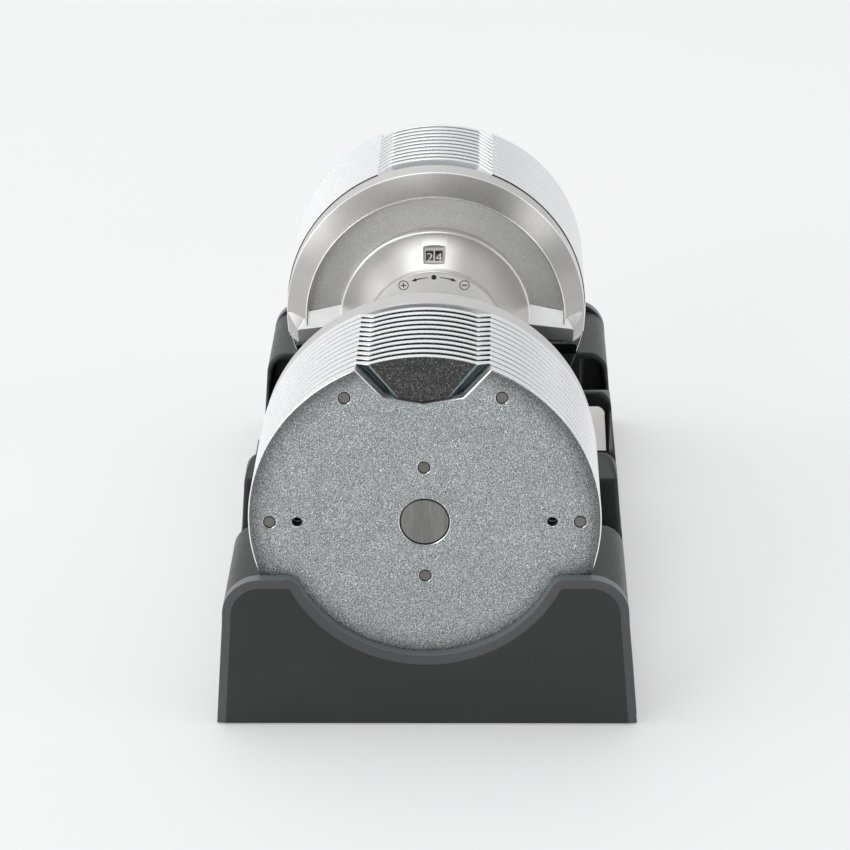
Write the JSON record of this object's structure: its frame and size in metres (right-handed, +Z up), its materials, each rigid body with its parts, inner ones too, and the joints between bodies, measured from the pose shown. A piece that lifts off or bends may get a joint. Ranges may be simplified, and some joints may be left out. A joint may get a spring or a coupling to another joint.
{
  "type": "adjustable dumbbell",
  "caption": "Twist-handle adjustable dumbbell with round steel plates in nested notched stacks, standing in a moulded cradle with a round cut in each end wall.",
  "frame": {"origin": "middle of the footprint, on the floor", "axes": "+X along the handle towards one end wall, +Y towards the long side with the label, +Z up"},
  "size_m": [0.4018, 0.2164, 0.2],
  "materials": {
    "plate_paint": "speckled silver-grey hammertone powder coat, bright bare rims",
    "head_casting": "satin cast and turned, grainy in the recess",
    "bar_steel": "brushed bare steel, knurled on the grip",
    "dial": "moulded, printed numbers",
    "lens": "clear polished window",
    "cradle_plastic": "moulded black, fine satin texture",
    "foot_rubber": "matt rubber",
    "label": "blank printed-stock sticker"
  },
  "bodies": {
    "cradle": {"cradle_tray": "cradle_plastic", "foot_1": "foot_rubber", "foot_2": "foot_rubber", "foot_3": "foot_rubber", "foot_4": "foot_rubber", "release_post_right": "cradle_plastic", "release_post_left": "cradle_plastic", "tray_label": "label"},
    "dumbbell": {"plate_01_right": "plate_paint", "plate_01_left": "plate_paint", "plate_02_right": "plate_paint", "plate_02_left": "plate_paint", "plate_03_right": "plate_paint", "plate_03_left": "plate_paint", "plate_04_right": "plate_paint", "plate_04_left": "plate_paint", "plate_05_right": "plate_paint", "plate_05_left": "plate_paint", "plate_06_right": "plate_paint", "plate_06_left": "plate_paint", "plate_07_right": "plate_paint", "plate_07_left": "plate_paint", "plate_08_right": "plate_paint", "plate_08_left": "plate_paint", "plate_09_right": "plate_paint", "plate_09_left": "plate_paint", "plate_10_right": "plate_paint", "plate_10_left": "plate_paint", "plate_11_right": "plate_paint", "plate_11_left": "plate_paint", "end_plate_right": "plate_paint", "end_plate_left": "plate_paint", "head_casting_right": "head_casting", "head_casting_left": "head_casting", "arrow_ring_right": "head_casting", "arrow_ring_left": "head_casting", "window_lens_right": "lens", "window_lens_left": "lens", "guide_plate_right": "bar_steel", "guide_plate_left": "bar_steel", "head_screw_1_right": "bar_steel", "head_screw_1_left": "bar_steel", "head_screw_2_right": "bar_steel", "head_screw_2_left": "bar_steel", "detent_plunger_right": "bar_steel", "detent_plunger_left": "bar_steel"},
    "grip": {"grip_sleeve": "bar_steel", "helix_tube": "bar_steel", "number_dial_right": "dial", "number_dial_left": "dial", "index_ring_right": "bar_steel", "index_ring_left": "bar_steel"},
    "bar_right": {"locking_bar_right": "bar_steel", "drive_pin_right": "bar_steel"},
    "bar_left": {"locking_bar_left": "bar_steel", "drive_pin_left": "bar_steel"},
    "lock_right": {"lock_slider_right": "bar_steel", "lock_spring_right": "bar_steel"},
    "lock_left": {"lock_slider_left": "bar_steel", "lock_spring_left": "bar_steel"}
  },
  "joints": [
    {"name": "lift_out", "type": "slide", "parent": "cradle", "child": "dumbbell", "axis": [0, 0, 1], "range_m": [0, 0.25]},
    {"name": "handle_twist", "type": "hinge", "parent": "dumbbell", "child": "grip", "pos_m": [0, 0, 0.111], "axis": [1, 0, 0], "range_deg": [-330, 0]},
    {"name": "bar_right_slide", "type": "slide", "parent": "dumbbell", "child": "bar_right", "axis": [1, 0, 0], "range_m": [-0.0715, 0]},
    {"name": "bar_left_slide", "type": "slide", "parent": "dumbbell", "child": "bar_left", "axis": [-1, 0, 0], "range_m": [-0.0715, 0]},
    {"name": "lock_right_slide", "type": "slide", "parent": "dumbbell", "child": "lock_right", "axis": [0, 0, 1], "range_m": [-0.005, 0], "deforming": ["lock_spring_right"]},
    {"name": "lock_left_slide", "type": "slide", "parent": "dumbbell", "child": "lock_left", "axis": [0, 0, 1], "range_m": [-0.005, 0], "deforming": ["lock_spring_left"]}
  ],
  "couplings": [
    {"joint": "bar_right_slide", "follows": "handle_twist", "m_per_rad": 0.012413},
    {"joint": "bar_left_slide", "follows": "handle_twist", "m_per_rad": 0.012413},
    {"joint": "lock_right_slide", "follows": "lift_out", "ratio": -0.02},
    {"joint": "lock_left_slide", "follows": "lift_out", "ratio": -0.02}
  ]
}
